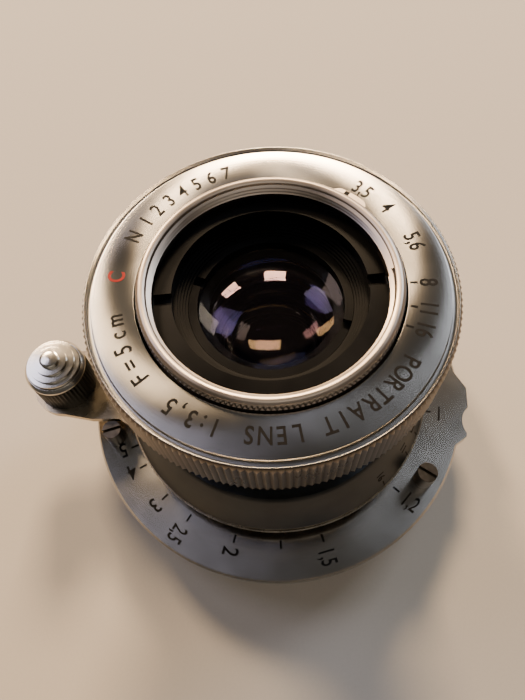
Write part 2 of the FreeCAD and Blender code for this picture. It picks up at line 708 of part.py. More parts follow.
def round_stud(radius, spot, low, high):
    return Part.makeCylinder(radius, high - low, FreeCAD.Vector(spot.x, spot.y, low), UP)


def leaf_shape():
    """One leaf in the open position, pivot on +X, reaching clockwise round the axis."""
    thick = number("leaf_thick")
    arc = Part.makeCylinder(arc_r + half, thick, FreeCAD.Vector(), UP, span)
    arc = arc.cut(Part.makeCylinder(arc_r - half, thick, FreeCAD.Vector(), UP))
    arc.rotate(FreeCAD.Vector(), UP, -span)
    for angle in (0, -span):
        arc = arc.fuse(round_stud(half, spot_on(arc_r, angle), 0, thick))
    arc = arc.removeSplitter()
    arc.translate(FreeCAD.Vector(0, 0, -thick / 2))
    tilt = math.degrees(math.atan(number("leaf_rise") / arc_r))
    arc.rotate(FreeCAD.Vector(), spot_on(1, -span / 2), -tilt)
    arc.translate(FreeCAD.Vector(0, 0, leaf_z))
    rise = number("leaf_rise") * math.sin(math.radians(span / 2))
    foot = number("iris_seat + seat_gap")
    head = number("drive_plate + drive_plate_thick - seat_gap")
    stud_r = number("stud_r")
    arc = arc.fuse(round_stud(stud_r, pivot, foot, leaf_z - rise))
    return arc.fuse(round_stud(stud_r, spot_on(arc_r, -span), leaf_z + rise, head))


def cam_slot():
    """Path of a leaf's drive stud in the turning drive ring, as a cutter."""
    stud = number("stud_r + running_gap / 2")
    low = number("drive_plate") - 1
    high = number("drive_plate + drive_plate_thick") + 1
    steps = 8
    cutter = None
    last = None
    for step in range(steps + 1):
        share = step / steps
        spot = spot_on(arc_r, -span) - pivot
        spot = FreeCAD.Rotation(UP, -number("leaf_swing") * share).multVec(spot) + pivot
        spot = FreeCAD.Rotation(UP, number("aperture_sweep") * share).multVec(spot)
        place = round_stud(stud, spot, low, high)
        cutter = cutter.fuse(place) if cutter else place
        if last:
            run = spot - last
            link = Part.makeBox(run.Length, 2 * stud, high - low, FreeCAD.Vector(0, -stud, low))
            link.rotate(FreeCAD.Vector(), UP, math.degrees(math.atan2(run.y, run.x)))
            link.translate(FreeCAD.Vector(last.x, last.y, 0))
            cutter = cutter.fuse(link)
        last = spot
    return cutter


leaf_count = int(number("leaf_count"))
leaf = leaf_shape()
leaf_turn = FreeCAD.Vector(0, 0, number(UNIT))
for index in range(leaf_count):
    blade = doc.addObject("Part::Feature", "iris_leaf_%d" % (index + 1))
    blade.Label = "iris_leaf_%d" % (index + 1)
    blade.Shape = leaf
    blade.Placement = FreeCAD.Placement(leaf_turn, FreeCAD.Rotation(UP, index * 360 / leaf_count))
    pieces.append(blade)

plate_low = number("drive_plate")
rim_low = number("drive_plate + drive_plate_thick")
outer = number("iris_wall_r - running_gap")
plate = Part.makeCylinder(outer, number("drive_rim_top") - plate_low,
                          FreeCAD.Vector(0, 0, plate_low), UP)
plate = plate.cut(Part.makeCylinder(number("iris_hole"), number("drive_rim_top"),
                                    FreeCAD.Vector(), UP))
plate = plate.cut(Part.makeCylinder(number("drive_rim_in"), number("drive_rim_top"),
                                    FreeCAD.Vector(0, 0, rim_low), UP))
for index in range(leaf_count):
    slot = cam_slot()
    slot.rotate(FreeCAD.Vector(), UP, index * 360 / leaf_count)
    plate = plate.cut(slot)
screw_hole = Part.makeCylinder(number("drive_screw_r"), outer, FreeCAD.Vector(0, 0, 0),
                               FreeCAD.Vector(1, 0, 0))
screw_hole.translate(FreeCAD.Vector(number("drive_screw_tip") - 1, 0, number(DRIVE_HEIGHT)))
screw_hole.rotate(FreeCAD.Vector(), UP, number("drive_azimuth"))
plate = plate.cut(screw_hole)
drive_ring = doc.addObject("Part::Feature", "iris_drive_ring")
drive_ring.Label = "iris_drive_ring"
drive_ring.Shape = plate
drive_ring.Placement = FreeCAD.Placement(leaf_turn, FreeCAD.Rotation())
pieces.append(drive_ring)

# ---------------------------------------------------------------- glass
# Four elements in three groups: front meniscus, middle biconcave, rear cemented pair.


def primitive(kind, name, **sizes):
    item = doc.addObject("Part::" + kind, name)
    for key, text in sizes.items():
        prop = {"z": "Placement.Base.z"}.get(key, key)
        item.setExpression(prop, bound(text))
    return item


def joined(kind, label, base, tool, last=False):
    item = doc.addObject("Part::" + kind, label)
    item.Base = base
    item.Tool = tool
    if last:
        item.Label = label
        pieces.append(item)
    return item


def rod(name, radius, low, high):
    return primitive("Cylinder", name, Radius=radius, Height="%s - (%s)" % (high, low),
                     z="%s + %s" % (UNIT, low))


def ball(name, radius, centre):
    return primitive("Sphere", name, Radius=radius, z="%s + %s" % (UNIT, centre))


def sag(curve, radius):
    """How far a ground surface falls from its vertex to its edge."""
    return "(%s - sqrt(%s * %s - %s * %s))" % (curve, curve, curve, radius, radius)


front_blank = rod("front_blank", "front_glass_r", "front_vertex - front_thick", "front_vertex")
front_ball = ball("front_ball", "front_curve", "front_vertex - front_curve")
joined("Common", "front_glass", front_blank, front_ball, True)

MIDDLE_BACK = "middle_front_vertex - middle_thick"
MIDDLE_LOW = MIDDLE_BACK + " - " + sag("middle_back_curve", "middle_glass_r")
MIDDLE_HIGH = "middle_front_vertex + " + sag("middle_front_curve", "middle_glass_r")
middle_blank = rod("middle_blank", "middle_glass_r", MIDDLE_LOW, MIDDLE_HIGH)
middle_top = ball("middle_top", "middle_front_curve", "middle_front_vertex + middle_front_curve")
middle_base = ball("middle_base", "middle_back_curve", MIDDLE_BACK + " - middle_back_curve")
hollowed = joined("Cut", "middle_hollowed", middle_blank, middle_top)
joined("Cut", "middle_glass", hollowed, middle_base, True)

CEMENT_LOW = "cement_vertex - " + sag("cement_curve", "rear_glass_r")
flint_blank = rod("flint_blank", "rear_glass_r", CEMENT_LOW, "rear_front")
flint_ball = ball("flint_ball", "cement_curve", "cement_vertex - cement_curve")
joined("Cut", "rear_flint_glass", flint_blank, flint_ball, True)
crown_blank = rod("crown_blank", "rear_glass_r", "rear_vertex", "cement_vertex")
crown_front = ball("crown_front", "cement_curve", "cement_vertex - cement_gap - cement_curve")
crown_back = ball("crown_back", "rear_curve", "rear_vertex + rear_curve")
crowned = joined("Common", "crown_fronted", crown_blank, crown_front)
joined("Common", "rear_crown_glass", crowned, crown_back, True)

# ---------------------------------------------------------------- front cell
# Black cell dropped in from the front: a stepped funnel round the glass, a tube below it.
CELL_TOP = BARREL_TOP + " + seat_gap"
GLASS_SEAT = "front_vertex - front_thick"
GLASS_RING_IN = "(front_glass_r - glass_ring_lap)"
RING_LOW = "front_vertex - " + sag("front_curve", GLASS_RING_IN) + " + 2 * seat_gap"
RING_TOP = RING_LOW + " + glass_ring_thick"
CELL_LOW = MIDDLE_LOW + " - seat_gap * 4"
turned("front_cell", [
    ("spacer_in", CELL_LOW), ("cell_tube_r", CELL_LOW),
    ("cell_tube_r", "iris_wall_top + 2 * seat_gap + cover_thick"),
    ("cell_r", "iris_wall_top + 2 * seat_gap + cover_thick"), ("cell_r", BARREL_TOP),
    ("cell_mouth", BARREL_TOP), ("cell_step", RING_TOP + " + seat_gap"),
    ("cell_step", RING_LOW + " - seat_gap"), ("front_glass_r + seat_gap", RING_LOW + " - seat_gap"),
    ("front_glass_r + seat_gap", MIDDLE_HIGH), ("middle_glass_r + seat_gap", MIDDLE_HIGH),
    ("middle_glass_r + seat_gap", MIDDLE_LOW + " - seat_gap / 2"),
    ("spacer_in", MIDDLE_LOW + " - seat_gap / 2")], UNIT)
ring("glass_spacer", "spacer_in", "front_glass_r", MIDDLE_HIGH + " + seat_gap / 2",
     GLASS_SEAT + " - seat_gap / 2", UNIT)
glass_ring = ring("front_glass_ring", GLASS_RING_IN, "cell_step - seat_gap", RING_LOW, RING_TOP,
                  UNIT)
slot_across(glass_ring, "cell_step", "glass_ring_slot", RING_TOP, "slot_depth")
glass_ring.setExpression("Placement.Rotation.Angle", bound("glass_ring_turn * 1 deg"))

# Slotted ring over the cell and the barrel's mouth
front_ring = ring("front_retaining_ring", "front_ring_in", "front_ring_r",
                  BARREL_TOP + " + seat_gap", BARREL_TOP + " + seat_gap + front_ring_thick", UNIT)
slot_across(front_ring, "front_ring_r + seat_gap", "front_ring_slot",
            BARREL_TOP + " + seat_gap + front_ring_thick", "slot_depth")

# ---------------------------------------------------------------- rear cell
# Cell for the cemented pair, entered from the rear, with its ring, and a baffle behind it.
turned("rear_cell", [
    ("rear_ring_r + seat_gap", "rear_cell_low"), ("rear_cell_flange", "rear_cell_low"),
    ("rear_cell_flange", BARREL_LOW + " - seat_gap"), ("rear_cell_r", BARREL_LOW + " - seat_gap"),
    ("rear_cell_r", "rear_cell_top"), ("rear_lip", "rear_cell_top"),
    ("rear_lip", "rear_front + seat_gap"), ("rear_glass_r + seat_gap", "rear_front + seat_gap"),
    ("rear_glass_r + seat_gap", "rear_ring_top + 3 * seat_gap"),
    ("rear_ring_r + seat_gap", "rear_ring_top + 3 * seat_gap")], UNIT)
rear_ring = ring("rear_glass_ring", "rear_ring_in", "rear_ring_r", "rear_ring_low",
                 "rear_ring_top", UNIT)
slot_across(rear_ring, "rear_ring_r + seat_gap", "glass_ring_slot",
            "rear_ring_low + slot_depth", "slot_depth")
ring("rear_baffle", "baffle_hole", "tube_bore - seat_gap", "baffle_low",
     "baffle_low + baffle_thick", UNIT)

# ---------------------------------------------------------------- checks and export
doc.recompute()
for item in doc.Objects:
    if "Invalid" in item.State or "Error" in item.State:
        raise RuntimeError("%s failed: %s" % (item.Label, item.State))
os.makedirs("parts", exist_ok=True)
for piece in pieces:
    if piece.Shape.isNull() or not piece.Shape.isValid():
        raise RuntimeError("%s has no valid shape" % piece.Label)
for piece in pieces:
    piece.Shape.exportStep("parts/%s.step" % piece.Label)
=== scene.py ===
from math import cos, pi, radians, sin, sqrt
import bmesh
import bpy
from mathutils import Matrix, Vector


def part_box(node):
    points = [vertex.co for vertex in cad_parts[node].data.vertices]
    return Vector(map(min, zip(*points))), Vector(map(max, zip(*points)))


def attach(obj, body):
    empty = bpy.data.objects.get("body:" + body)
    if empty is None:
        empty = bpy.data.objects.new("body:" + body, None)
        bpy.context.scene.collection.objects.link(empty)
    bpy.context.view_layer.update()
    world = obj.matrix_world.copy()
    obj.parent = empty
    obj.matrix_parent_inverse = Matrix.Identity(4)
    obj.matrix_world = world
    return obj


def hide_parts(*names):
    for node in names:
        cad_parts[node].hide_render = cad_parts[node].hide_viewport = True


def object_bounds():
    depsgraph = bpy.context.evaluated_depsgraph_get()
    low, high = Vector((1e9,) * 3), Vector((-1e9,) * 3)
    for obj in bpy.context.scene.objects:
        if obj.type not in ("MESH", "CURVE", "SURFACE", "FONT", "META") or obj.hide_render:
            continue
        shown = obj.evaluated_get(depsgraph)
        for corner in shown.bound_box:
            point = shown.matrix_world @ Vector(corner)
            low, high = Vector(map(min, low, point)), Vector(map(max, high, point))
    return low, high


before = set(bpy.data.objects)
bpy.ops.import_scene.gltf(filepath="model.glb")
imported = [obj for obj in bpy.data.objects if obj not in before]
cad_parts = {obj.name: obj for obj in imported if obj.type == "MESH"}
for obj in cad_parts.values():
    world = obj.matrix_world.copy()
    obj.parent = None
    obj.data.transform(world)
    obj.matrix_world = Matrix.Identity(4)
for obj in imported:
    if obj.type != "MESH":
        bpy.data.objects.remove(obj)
cad_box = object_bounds()

# ---------------------------------------------------------------- mount sleeve
# Turned brass sleeve, satin chromed: the 39 mm screw thread that enters the camera, a flange,
# and the bore in which the focusing thread runs. Its two key slots are milled from the rear.
MM = 0.001
MOUNT_PITCH = 0.977
MOUNT_THREAD_R = 19.5
MOUNT_THREAD_TURNS = 4.4
MOUNT_CORE_R = MOUNT_THREAD_R - 0.7 * MOUNT_PITCH
MOUNT_SKIN = 0.02


def linear(hex_colour):
    """An sRGB colour such as #C8C4BE as linear red, green, blue and alpha."""
    parts = [int(hex_colour[i:i + 2], 16) / 255 for i in (1, 3, 5)]
    return [c / 12.92 if c <= 0.04045 else ((c + 0.055) / 1.055) ** 2.4 for c in parts] + [1.0]


def add(tree, kind, inputs=None, **settings):
    """Adds a node. Inputs are plain values, or outputs of other nodes, which are linked."""
    made = tree.nodes.new(kind)
    for key, value in settings.items():
        setattr(made, key, value)
    for key, value in (inputs or {}).items():
        if isinstance(value, bpy.types.NodeSocket):
            tree.links.new(value, made.inputs[key])
        else:
            made.inputs[key].default_value = value
    return made


def turned_metal(name, light, dark, rough, line, depth, metallic=1.0, streak=0.0, mottle=5.0,
                 shine=0.5, groove=None):
    """A lathe finish: lines round the axis, patchy tone, and highlights stretched by streak.
    line is the lines' spacing and depth their depth, and mottle the size of a patch, in mm.
    Real lines are under 0.1 mm apart, and are drawn coarser, at 0.12 to 0.5 mm, to show.
    groove is a knurl's root and tip radius, and towards the root the colour is darkened as painted
    shade and grime."""
    material = bpy.data.materials.new(name)
    material.use_nodes = True
    tree = material.node_tree
    tree.nodes.clear()
    spot = add(tree, "ShaderNodeTexCoord").outputs["Object"]
    flat = add(tree, "ShaderNodeVectorMath", {0: spot, 1: (1, 1, 0)}, operation="MULTIPLY")
    reach = add(tree, "ShaderNodeVectorMath", {0: flat.outputs[0]}, operation="LENGTH")
    height = add(tree, "ShaderNodeSeparateXYZ", {0: spot}).outputs["Z"]
    along = add(tree, "ShaderNodeMath", {0: reach.outputs["Value"], 1: height}, operation="ADD")
    track = add(tree, "ShaderNodeCombineXYZ", {"X": along.outputs[0]})
    # At scale 1, the texture's bands are pi / 10 apart.
    lines = add(tree, "ShaderNodeTexWave", {"Vector": track.outputs[0], "Distortion": 1.5,
                "Detail": 2.0, "Scale": 0.1 * pi / (line * MM)}, bands_direction="X")
    patches = add(tree, "ShaderNodeTexNoise", {"Vector": spot, "Scale": 1 / (mottle * MM),
                  "Detail": 3.0, "Roughness": 0.5})
    tone = add(tree, "ShaderNodeMix", {0: patches.outputs["Fac"], 6: linear(dark),
               7: linear(light)}, data_type="RGBA")
    colour = tone.outputs[2]
    # Painted shade: towards a knurl's root the colour is mixed towards near black.
    if groove:
        rise = add(tree, "ShaderNodeMapRange", {"Value": reach.outputs["Value"],
                   "From Min": groove[0] * MM, "From Max": groove[1] * MM})
        colour = add(tree, "ShaderNodeMix", {0: rise.outputs[0], 6: linear("#1F1A16"),
                     7: colour}, data_type="RGBA").outputs[2]
    polish = add(tree, "ShaderNodeMapRange", {"Value": patches.outputs["Fac"], "From Min": 0.3,
                 "From Max": 0.7, "To Min": rough * 0.85, "To Max": rough * 1.2})
    relief = add(tree, "ShaderNodeBump", {"Height": lines.outputs["Fac"], "Strength": 0.6,
                 "Distance": depth * MM})
    grip = add(tree, "ShaderNodeTangent", direction_type="RADIAL", axis="Z")
    skin = add(tree, "ShaderNodeBsdfPrincipled", {"Base Color": colour,
               "Roughness": polish.outputs[0], "Normal": relief.outputs[0], "Metallic": metallic,
               "Anisotropic": streak, "Tangent": grip.outputs[0], "Specular IOR Level": shine})
    add(tree, "ShaderNodeOutputMaterial", {"Surface": skin.outputs[0]})
    return material


def dress(node, material):
    """Gives a CAD node a better material."""
    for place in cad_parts[node].material_slots:
        place.material = material


def smooth(mesh):
    """Smooth shading, except at real edges."""
    mesh.shade_smooth()
    mesh.set_sharp_from_angle(angle=radians(32))


def placed(name, bm, material):
    """Puts a finished bmesh in the scene as a piece of one material."""
    mesh = bpy.data.meshes.new(name)
    bm.to_mesh(mesh)
    bm.free()
    # A copied CAD mesh brings its old shading normals, which no longer fit once it is merged.
    if "custom_normal" in mesh.attributes:
        mesh.attributes.remove(mesh.attributes["custom_normal"])
    mesh.materials.append(material)
    smooth(mesh)
    piece = bpy.data.objects.new(name, mesh)
    bpy.context.scene.collection.objects.link(piece)
    return piece


def grow(piece, tree, **values):
    """Runs a Geometry Nodes tree on a piece, with its inputs set by name, and keeps the result."""
    modifier = piece.modifiers.new(tree.name, "NODES")
    modifier.node_group = tree
    for item in tree.interface.items_tree:
        if item.item_type == "SOCKET" and item.in_out == "INPUT" and item.name in values:
            modifier[item.identifier] = values[item.name]
    shown = piece.evaluated_get(bpy.context.evaluated_depsgraph_get())
    mesh = bpy.data.meshes.new_from_object(shown)
    piece.modifiers.clear()
    piece.data = mesh
    smooth(mesh)
    return piece


def fixed(piece, body, slot, *nodes):
    """Fastens a finished piece to its body, in place of the CAD nodes it stands for."""
    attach(piece, body)
    if nodes:
        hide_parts(*nodes)
    return piece


def new_tree(name, sockets):
    """An empty Geometry Nodes tree with a geometry in and out, and named inputs."""
    tree = bpy.data.node_groups.new(name, "GeometryNodeTree")
    tree.interface.new_socket("Geometry", in_out="INPUT", socket_type="NodeSocketGeometry")
    for word, kind in sockets:
        tree.interface.new_socket(word, in_out="INPUT", socket_type="NodeSocket" + kind)
    tree.interface.new_socket("Geometry", in_out="OUTPUT", socket_type="NodeSocketGeometry")
    return tree


def thread_tree():
    """A 60 degree screw thread: a three-sided section swept along a helix, joined to the piece."""
    tree = new_tree("screw_thread", [("Path", "Float"), ("Section", "Float"), ("Turn", "Float"),
                    ("Turns", "Float"), ("Rise", "Float"), ("Low", "Float"),
                    ("Finish", "Material")])
    ask = add(tree, "NodeGroupInput").outputs
    helix = add(tree, "GeometryNodeCurveSpiral", {"Resolution": 90, "Rotations": ask["Turns"],
                "Start Radius": ask["Path"], "End Radius": ask["Path"], "Height": ask["Rise"]})
    lift = add(tree, "ShaderNodeCombineXYZ", {"Z": ask["Low"]})
    stood = add(tree, "GeometryNodeTransform", {"Geometry": helix.outputs[0],
                "Translation": lift.outputs[0]})
    upright = add(tree, "GeometryNodeSetCurveNormal", {"Curve": stood.outputs[0]}, mode="Z_UP")
    section = add(tree, "GeometryNodeCurvePrimitiveCircle", {"Resolution": 3,
                  "Radius": ask["Section"]})
    facing = add(tree, "ShaderNodeCombineXYZ", {"Z": ask["Turn"]})
    faced = add(tree, "GeometryNodeTransform", {"Geometry": section.outputs[0],
                "Rotation": facing.outputs[0]})
    swept = add(tree, "GeometryNodeCurveToMesh", {"Curve": upright.outputs[0],
                "Profile Curve": faced.outputs[0], "Fill Caps": True})
    both = add(tree, "GeometryNodeJoinGeometry", {"Geometry": swept.outputs[0]})
    tree.links.new(ask["Geometry"], both.inputs["Geometry"])
    real = add(tree, "GeometryNodeRealizeInstances", {"Geometry": both.outputs[0]})
    dressed = add(tree, "GeometryNodeSetMaterial", {"Geometry": real.outputs[0],
                  "Material": ask["Finish"]})
    add(tree, "NodeGroupOutput", {"Geometry": dressed.outputs[0]})
    return tree


screw_thread = thread_tree()
OUTWARD, INWARD = pi, 0.0


def threaded(piece, crest, pitch, turns, low, facing, material):
    """Cuts a thread: its crest radius, pitch, turns, lowest height in mm, and which way it faces."""
    middle = crest + pitch / 2 * cos(facing)
    return grow(piece, screw_thread, Path=middle * MM, Section=pitch / 2 * MM, Turn=facing,
                Turns=turns, Rise=pitch * turns * MM, Low=low * MM, Finish=material)


# Satin chrome on brass: pale and slightly warm, and its turning lines stretch each highlight.
satin_chrome = turned_metal("satin_chrome_on_brass", "#BDBAB5", "#A19D97", 0.22, 0.4, 0.0005,
                            streak=0.9, mottle=9.0)
# The plain outer wall shrinks to the thread's core, and the ridge is laid on it.
sleeve = bmesh.new()
sleeve.from_mesh(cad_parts["mount_sleeve"].data)
bmesh.ops.remove_doubles(sleeve, verts=sleeve.verts, dist=0.001 * MM)
for vertex in sleeve.verts:
    radius = vertex.co.xy.length
    if abs(radius - MOUNT_THREAD_R * MM) < MOUNT_SKIN * MM:
        vertex.co.xy *= MOUNT_CORE_R * MM / radius
sleeve = placed("threaded_mount_sleeve", sleeve, satin_chrome)
threaded(sleeve, MOUNT_THREAD_R, MOUNT_PITCH, MOUNT_THREAD_TURNS,
         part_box("mount_sleeve")[0].z / MM + MOUNT_PITCH / 2, OUTWARD, satin_chrome)
fixed(sleeve, "root", "chromed_brass", "mount_sleeve")

# ---------------------------------------------------------------- distance scale disc
# Flat satin-chromed disc with the infinity catch in its edge, held by four screws from behind.
# Distances in metres are engraved and filled with black, and each tick is where the lens focuses.
FOCAL = 50
INFINITY_AZIMUTH = -196.2
DEGREES_PER_MM = 360 / 5.5
dress("distance_scale_disc", satin_chrome)
# Plain turned steel: browned and patchy with age, with deeper tool marks than the chrome.
screw_steel = turned_metal("turned_steel", "#7A7268", "#3F3932", 0.34, 0.3, 0.002, mottle=0.9)
for node in ("disc_screws", "near_stop_screw", "infinity_stop_screw"):
    dress(node, screw_steel)


def paint(name, fill, shade, rough):
    """Cellulose paint wiped into engraving: dull, and uneven where it has sunk or worn."""
    material = bpy.data.materials.new(name)
    material.use_nodes = True
    tree = material.node_tree
    tree.nodes.clear()
    spot = add(tree, "ShaderNodeTexCoord").outputs["Object"]
    worn = add(tree, "ShaderNodeTexNoise", {"Vector": spot, "Scale": 1 / (0.4 * MM),
               "Detail": 3.0})
    tone = add(tree, "ShaderNodeMix", {0: worn.outputs["Fac"], 6: linear(fill),
               7: linear(shade)}, data_type="RGBA")
    skin = add(tree, "ShaderNodeBsdfPrincipled", {"Base Color": tone.outputs[2],
               "Roughness": rough, "Specular IOR Level": 0.12})
    add(tree, "ShaderNodeOutputMaterial", {"Surface": skin.outputs[0]})
    return material


# Black paint looks dull beside the metal, and greys a little where it is thin.
black_fill = paint("black_engraving_paint", "#080706", "#1A1714", 0.6)


CAPITAL_SHARE = 0.729
LETTER_WEIGHT = 0.035
MARK_HALF_THICK = 0.02


def glyphs(text, height, stretch=1.0):
    """A word as thin solid letters round their own centre, in mm: its corners and its faces.
    height is that of a capital, which is CAPITAL_SHARE of the font's size."""
    curve = bpy.data.curves.new("letters", "FONT")
    curve.body = text
    curve.size = height / CAPITAL_SHARE
    curve.extrude = MARK_HALF_THICK
    curve.offset = LETTER_WEIGHT
    curve.resolution_u = 5
    holder = bpy.data.objects.new("letters", curve)
    bpy.context.scene.collection.objects.link(holder)
    bpy.context.view_layer.update()
    shown = holder.evaluated_get(bpy.context.evaluated_depsgraph_get())
    mesh = bpy.data.meshes.new_from_object(shown)
    bpy.data.objects.remove(holder)
    corners = [vertex.co for vertex in mesh.vertices]
    middle_x = (min(c.x for c in corners) + max(c.x for c in corners)) / 2
    spots = [((c.x - middle_x) * stretch, c.y - height / 2, c.z) for c in corners]
    return spots, [tuple(face.vertices) for face in mesh.polygons]


def bar(across, along):
    """A short engraved line, as a thin box round its own centre, in mm."""
    spots = [(x * across / 2, y * along / 2, z * MARK_HALF_THICK)
             for z in (-1, 1) for x, y in ((-1, -1), (1, -1), (1, 1), (-1, 1))]
    faces = [(3, 2, 1, 0), (4, 5, 6, 7), (0, 1, 5, 4), (1, 2, 6, 5), (2, 3, 7, 6), (3, 0, 4, 7)]
    return spots, faces


def engraved(name, marks, place, material, body):
    """Lays marks on a surface. Each is (shape, azimuth, shift across), and place(azimuth, right,
    up, out) is where a point of it goes, in mm."""
    bm = bmesh.new()
    for (spots, faces), azimuth, shift in marks:
        made = [bm.verts.new(Vector(place(radians(azimuth), x + shift, y, z)) * MM)
                for x, y, z in spots]
        for face in faces:
            bm.faces.new([made[i] for i in face])
    bmesh.ops.remove_doubles(bm, verts=bm.verts, dist=0.002 * MM)
    bmesh.ops.recalc_face_normals(bm, faces=bm.faces)
    piece = placed(name, bm, material)
    return fixed(piece, body, "black_enamel")


def focus_azimuth(metres):
    """Where the index points when the lens is focused at this distance."""
    extension = FOCAL * FOCAL / (metres * 1000 - 2 * FOCAL)
    return INFINITY_AZIMUTH + DEGREES_PER_MM * extension


disc_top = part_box("distance_scale_disc")[1].z / MM
TICK_REACH = 22.65
TICK_LONG, TICK_WIDE = 1.1, 0.28
NUMBER_REACH = 25.3
NUMBER_HEIGHT = 2.3
UNNUMBERED = (1.7, 7, 20)


def on_disc(azimuth, right, up, out):
    """Numbers on the disc read outwards."""
    return (right * cos(azimuth) - up * sin(azimuth), right * sin(azimuth) + up * cos(azimuth),
            disc_top + out)


# A number with a comma is squeezed, and a short one stands closer to its tick.
marks = []
for metres in (1, 1.2, 1.5, 1.7, 2, 2.5, 3, 4, 5, 7, 10, 20):
    where = focus_azimuth(metres)
    text = str(metres).replace(".", ",")
    marks.append((bar(TICK_LONG, TICK_WIDE), where, TICK_REACH))
    if metres not in UNNUMBERED:
        squeeze = 0.62 if len(text) == 3 else 0.8
        offset = -0.9 if len(text) < 3 else 0.0
        marks.append((glyphs(text, NUMBER_HEIGHT, squeeze), where, NUMBER_REACH + offset))
marks.append((bar(TICK_LONG, TICK_WIDE), INFINITY_AZIMUTH, TICK_REACH))
marks.append((glyphs("∞", NUMBER_HEIGHT), INFINITY_AZIMUTH, NUMBER_REACH))
engraved("distance_scale", marks, on_disc, black_fill, "root")

# ---------------------------------------------------------------- coupling ring and helicoid
# Two bare brass tubes with greased threads. The front one turns with the lens, and the rear one,
# held by its keys, pushes the camera's rangefinder cam. Bare brass is yellow with brown stains.
bare_brass = turned_metal("bare_turned_brass", "#C9A25C", "#8A6A36", 0.3, 0.35, 0.003, mottle=2.5)
for node in ("rangefinder_ring", "focus_helicoid", "focus_shim"):
    dress(node, bare_brass)

# ---------------------------------------------------------------- depth-of-field cone
# Turned aluminium cone on the lever ring. Its lowest edge has the focusing index in the middle,
# and on each side of it the same f-numbers, engraved small and filled with black.
CONE_BASE_R = 21.4
CONE_TOP_R = 19.1
CONE_ROOF_R = 18.6
CONE_BORE_R = 18.75
CONE_LIP_R = 16.95
CONE_LIP_THICK = 1.3
CONE_EDGE = 0.25
CONE_RISE = 4.63
INDEX_AZIMUTH = -6.2
DEGREES_PER_STOP = 2.89
cone_low, cone_high = (corner.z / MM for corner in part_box("depth_scale_cone"))
cone_foot = cone_low + CONE_EDGE
cone_brow = cone_low + CONE_RISE


ON_AXIS = 0.001
NEARLY_STRAIGHT = radians(155)
BEND = 0.7


def eased(outline, size):
    """Rounds the corners of an outline with three-point arcs, whose middle point lies BEND of the
    way to the corner. Points on the axis, on tiny edges and on nearly straight runs stay."""
    done = []
    count = len(outline)
    for i, (r, z) in enumerate(outline):
        before, after = outline[i - 1], outline[(i + 1) % count]
        ways = [Vector((p[0] - r, p[1] - z)) for p in (before, after)]
        shortest = min(w.length for w in ways)
        if r < ON_AXIS or shortest < 0.02 or abs(ways[0].angle(ways[1], 0)) > NEARLY_STRAIGHT:
            done.append((r, z))
            continue
        cut = min(size, shortest * 0.35)
        here = Vector((r, z))
        first, last = (here + w.normalized() * cut for w in ways)
        bend = (first + last) * (1 - BEND) / 2 + here * BEND
        done += [tuple(first), tuple(bend), tuple(last)]
    return done


def turned(name, outline, material, columns=160, centre=(0.0, 0.0)):
    """A lathe-turned piece: a closed outline of (radius, height) in mm, spun about an upright
    line through centre."""
    bm = bmesh.new()
    rows = []
    for k in range(columns):
        angle = 2 * pi * k / columns
        rows.append([bm.verts.new((MM * (centre[0] + r * cos(angle)),
                                   MM * (centre[1] + r * sin(angle)), MM * z))
                     for r, z in outline])
    for k, row in enumerate(rows):
        beside = rows[(k + 1) % columns]
        for i in range(len(outline)):
            j = (i + 1) % len(outline)
            if outline[i][0] > ON_AXIS or outline[j][0] > ON_AXIS:
                bm.faces.new((row[i], beside[i], beside[j], row[j]))
    bmesh.ops.remove_doubles(bm, verts=bm.verts, dist=0.0005 * MM)
    bmesh.ops.recalc_face_normals(bm, faces=bm.faces)
    return placed(name, bm, material)


# Turned aluminium coloured dark grey as painted shade, for the shaded table its side reflects: much
# darker and duller than the chrome.
shade_dark_aluminium = turned_metal("turned_aluminium", "#44474A", "#303234", 0.34, 0.4, 0.0012,
                              streak=0.6, mottle=4.0)
cone = turned("turned_scale_cone", eased([
    (CONE_BORE_R, cone_low), (CONE_BASE_R, cone_low), (CONE_BASE_R, cone_foot),
    (CONE_TOP_R, cone_brow), (CONE_ROOF_R, cone_high), (CONE_LIP_R, cone_high),
    (CONE_LIP_R, cone_high - CONE_LIP_THICK), (CONE_BORE_R, cone_high - CONE_LIP_THICK)], 0.06),
    shade_dark_aluminium)
fixed(cone, "focus_unit", "aluminium", "depth_scale_cone")
cone_slope = Vector((CONE_BASE_R - CONE_TOP_R, cone_foot - cone_brow)).normalized()


def on_cone(azimuth, right, up, out):
    """Marks on the cone read down its slope. right is measured from its upper edge."""
    reach = CONE_TOP_R + cone_slope.x * right - cone_slope.y * out
    height = cone_brow + cone_slope.y * right + cone_slope.x * out
    turn = azimuth + up / reach
    return reach * cos(turn), reach * sin(turn), height


INDEX_DOWN, STOP_TICK_DOWN, STOP_DOWN = 3.8, 4.4, 2.9
STOP_HEIGHT = 1.25
cone_marks = [(bar(2.2, 0.3), INDEX_AZIMUTH, INDEX_DOWN)]
for stop in (3.5, 4, 5.6, 8, 11, 16):
    for side in (-1, 1):
        where = INDEX_AZIMUTH + side * DEGREES_PER_STOP * stop
        cone_marks.append((bar(0.9, 0.2), where, STOP_TICK_DOWN))
        if isinstance(stop, int):
            cone_marks.append((glyphs(str(stop), STOP_HEIGHT, 0.8), where, STOP_DOWN))
engraved("depth_scale", cone_marks, on_cone, black_fill, "focus_unit")

# ---------------------------------------------------------------- focusing lever
# One stamped plate, ring and arm, satin chromed and worn by the thumb until it looks yellow.
# Three countersunk screws from below hold it to the cone.
thumbed_chrome = turned_metal("thumb_worn_chrome", "#CBBEA6", "#86755C", 0.26, 0.5, 0.001,
                              streak=0.4, mottle=3.0)
dress("focus_lever", thumbed_chrome)
dress("lever_screws", screw_steel)

